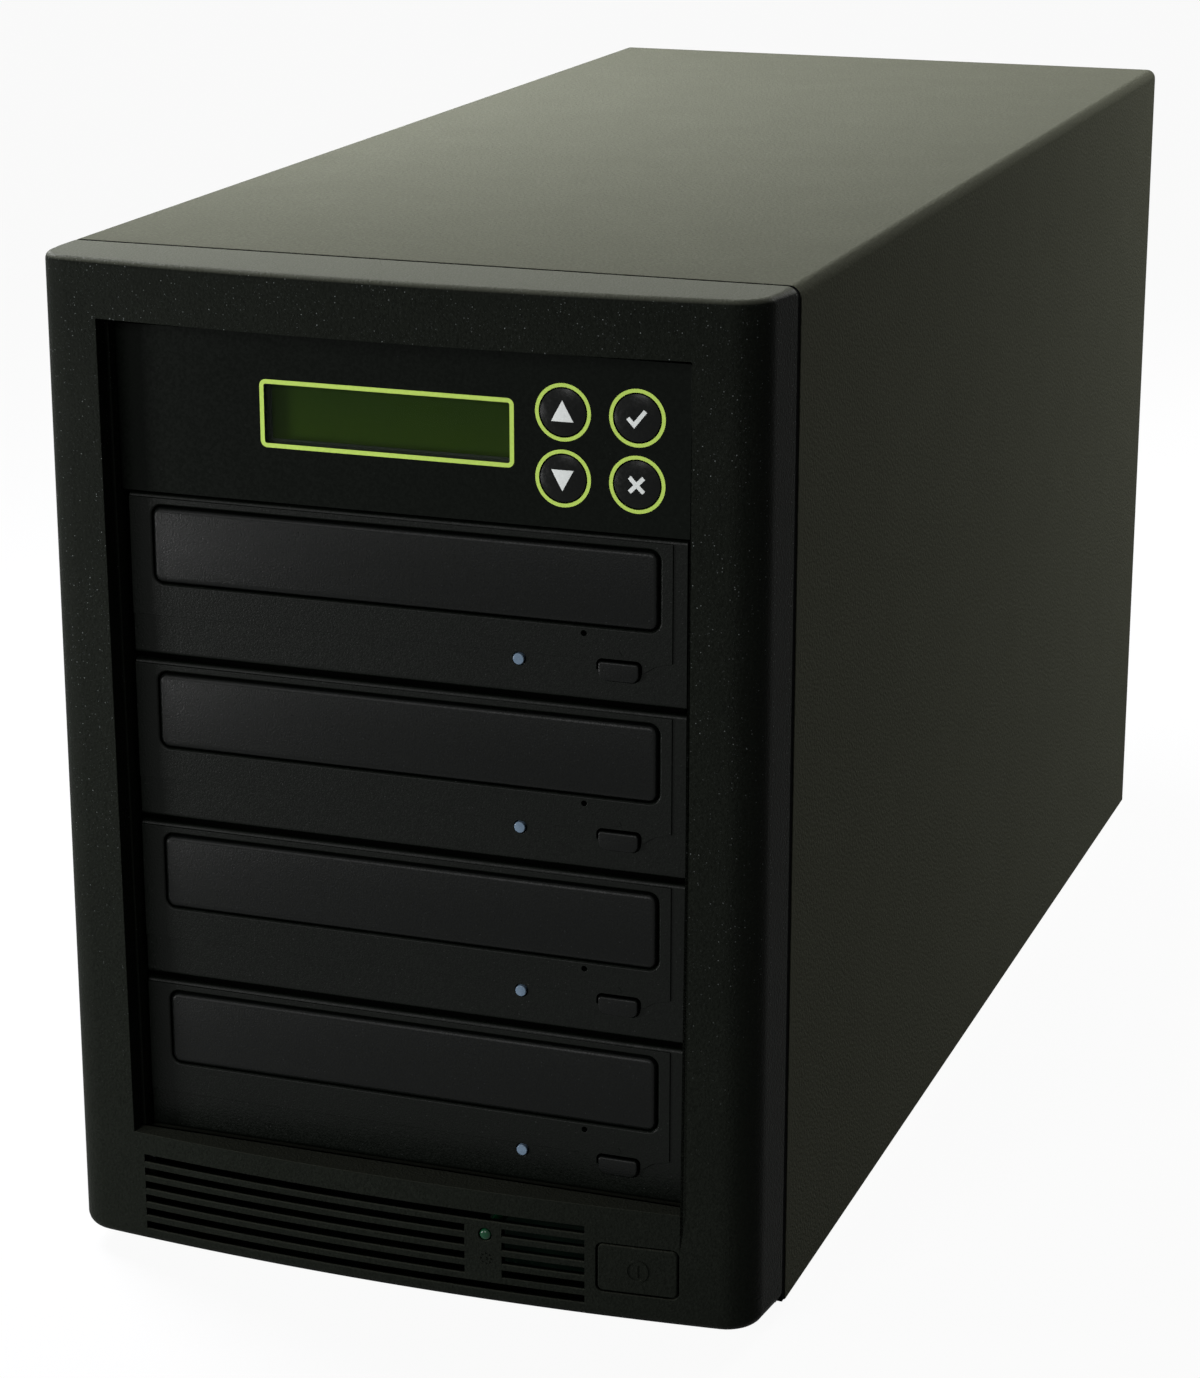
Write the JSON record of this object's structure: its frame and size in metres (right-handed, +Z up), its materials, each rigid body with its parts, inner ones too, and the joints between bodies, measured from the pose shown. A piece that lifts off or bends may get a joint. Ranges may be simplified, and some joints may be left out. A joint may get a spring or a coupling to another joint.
{
  "type": "disc duplicator tower",
  "caption": "Upright disc duplicator: folded steel case, bowed moulded bezel, stack of tray-loading disc drives, control panel with display and keys, rear fan and mains inlet.",
  "frame": {"origin": "under the middle of the tower's bounding box, on the surface that its feet stand on", "axes": "+X to the right of someone facing the front, +Y from the front to the back, +Z up"},
  "size_m": [0.1924, 0.4528, 0.2685],
  "materials": {
    "powder_coat": "fine-textured black powder coat, satin",
    "zinc_steel": "zinc-plated sheet, satin",
    "screw_steel": "blackened steel, semi-gloss",
    "foot_rubber": "matte",
    "bezel_plastic": "spark-eroded texture, satin",
    "power_light": "tinted clear plastic",
    "circuit_board": "solder mask, satin",
    "panel_film": "printed film, low gloss",
    "window_glass": "clear, glossy",
    "display_cell": "dark green display, satin",
    "key_film": "domed film, semi-gloss",
    "fascia_plastic": "fine texture, satin",
    "door_plastic": "fine texture, satin",
    "tray_plastic": "moulded, matte",
    "loader_plastic": "moulded, matte",
    "drive_light": "frosted light pipe",
    "inlet_plastic": "moulded, satin",
    "fan_plastic": "moulded, satin",
    "print_lime": "printed ink",
    "print_white": "printed ink"
  },
  "bodies": {
    "tower": {"case_cover": "powder_coat", "rear_panel": "powder_coat", "chassis_base": "zinc_steel", "drive_cage": "zinc_steel", "panel_bracket": "zinc_steel", "cover_screw_1": "screw_steel", "cover_screw_2": "screw_steel", "cover_screw_3": "screw_steel", "cover_screw_4": "screw_steel", "foot_front_left": "foot_rubber", "foot_front_right": "foot_rubber", "foot_rear_left": "foot_rubber", "foot_rear_right": "foot_rubber", "front_bezel": "bezel_plastic", "power_light": "power_light", "switch_board": "circuit_board", "control_panel": "panel_film", "lcd_window": "window_glass", "lcd_module": "display_cell", "controller_board": "circuit_board", "drive_1_fascia": "fascia_plastic", "drive_2_fascia": "fascia_plastic", "drive_3_fascia": "fascia_plastic", "drive_4_fascia": "fascia_plastic", "drive_1_shell": "zinc_steel", "drive_2_shell": "zinc_steel", "drive_3_shell": "zinc_steel", "drive_4_shell": "zinc_steel", "drive_1_loader": "loader_plastic", "drive_2_loader": "loader_plastic", "drive_3_loader": "loader_plastic", "drive_4_loader": "loader_plastic", "drive_1_light": "drive_light", "drive_2_light": "drive_light", "drive_3_light": "drive_light", "drive_4_light": "drive_light", "power_supply": "zinc_steel", "mains_inlet": "inlet_plastic", "rocker_housing": "inlet_plastic", "fan_frame": "fan_plastic", "fan_guard": "screw_steel"},
    "tray_1": {"drive_1_tray": "tray_plastic", "drive_1_door": "door_plastic"},
    "tray_2": {"drive_2_tray": "tray_plastic", "drive_2_door": "door_plastic"},
    "tray_3": {"drive_3_tray": "tray_plastic", "drive_3_door": "door_plastic"},
    "tray_4": {"drive_4_tray": "tray_plastic", "drive_4_door": "door_plastic"},
    "eject_1": {"drive_1_eject_button": "door_plastic"},
    "eject_2": {"drive_2_eject_button": "door_plastic"},
    "eject_3": {"drive_3_eject_button": "door_plastic"},
    "eject_4": {"drive_4_eject_button": "door_plastic"},
    "key_up": {"button_up": "key_film"},
    "key_down": {"button_down": "key_film"},
    "key_enter": {"button_enter": "key_film"},
    "key_escape": {"button_escape": "key_film"},
    "power_key": {"power_button": "bezel_plastic"},
    "rocker": {"supply_rocker": "inlet_plastic"},
    "rotor": {"fan_rotor": "fan_plastic"}
  },
  "joints": [
    {"name": "tray_1_slide", "type": "slide", "parent": "tower", "child": "tray_1", "axis": [0, -1, 0], "range_m": [0, 0.13]},
    {"name": "tray_2_slide", "type": "slide", "parent": "tower", "child": "tray_2", "axis": [0, -1, 0], "range_m": [0, 0.13]},
    {"name": "tray_3_slide", "type": "slide", "parent": "tower", "child": "tray_3", "axis": [0, -1, 0], "range_m": [0, 0.13]},
    {"name": "tray_4_slide", "type": "slide", "parent": "tower", "child": "tray_4", "axis": [0, -1, 0], "range_m": [0, 0.13]},
    {"name": "eject_1_press", "type": "slide", "parent": "tower", "child": "eject_1", "axis": [0, 1, 0], "range_m": [0, 0.0012], "stiffness_N_per_m": 500},
    {"name": "eject_2_press", "type": "slide", "parent": "tower", "child": "eject_2", "axis": [0, 1, 0], "range_m": [0, 0.0012], "stiffness_N_per_m": 500},
    {"name": "eject_3_press", "type": "slide", "parent": "tower", "child": "eject_3", "axis": [0, 1, 0], "range_m": [0, 0.0012], "stiffness_N_per_m": 500},
    {"name": "eject_4_press", "type": "slide", "parent": "tower", "child": "eject_4", "axis": [0, 1, 0], "range_m": [0, 0.0012], "stiffness_N_per_m": 500},
    {"name": "key_up_press", "type": "slide", "parent": "tower", "child": "key_up", "axis": [0, 1, 0], "range_m": [0, 0.0008], "stiffness_N_per_m": 800},
    {"name": "key_down_press", "type": "slide", "parent": "tower", "child": "key_down", "axis": [0, 1, 0], "range_m": [0, 0.0008], "stiffness_N_per_m": 800},
    {"name": "key_enter_press", "type": "slide", "parent": "tower", "child": "key_enter", "axis": [0, 1, 0], "range_m": [0, 0.0008], "stiffness_N_per_m": 800},
    {"name": "key_escape_press", "type": "slide", "parent": "tower", "child": "key_escape", "axis": [0, 1, 0], "range_m": [0, 0.0008], "stiffness_N_per_m": 800},
    {"name": "power_press", "type": "slide", "parent": "tower", "child": "power_key", "axis": [0, 1, 0], "range_m": [0, 0.0015], "stiffness_N_per_m": 600},
    {"name": "rocker_tilt", "type": "hinge", "parent": "tower", "child": "rocker", "pos_m": [0.05, 0.2183, 0.0663], "axis": [1, 0, 0], "range_deg": [-16, 0]},
    {"name": "fan_spin", "type": "hinge", "parent": "tower", "child": "rotor", "pos_m": [0, 0.208, 0.1453], "axis": [0, 1, 0], "continuous": true}
  ]
}
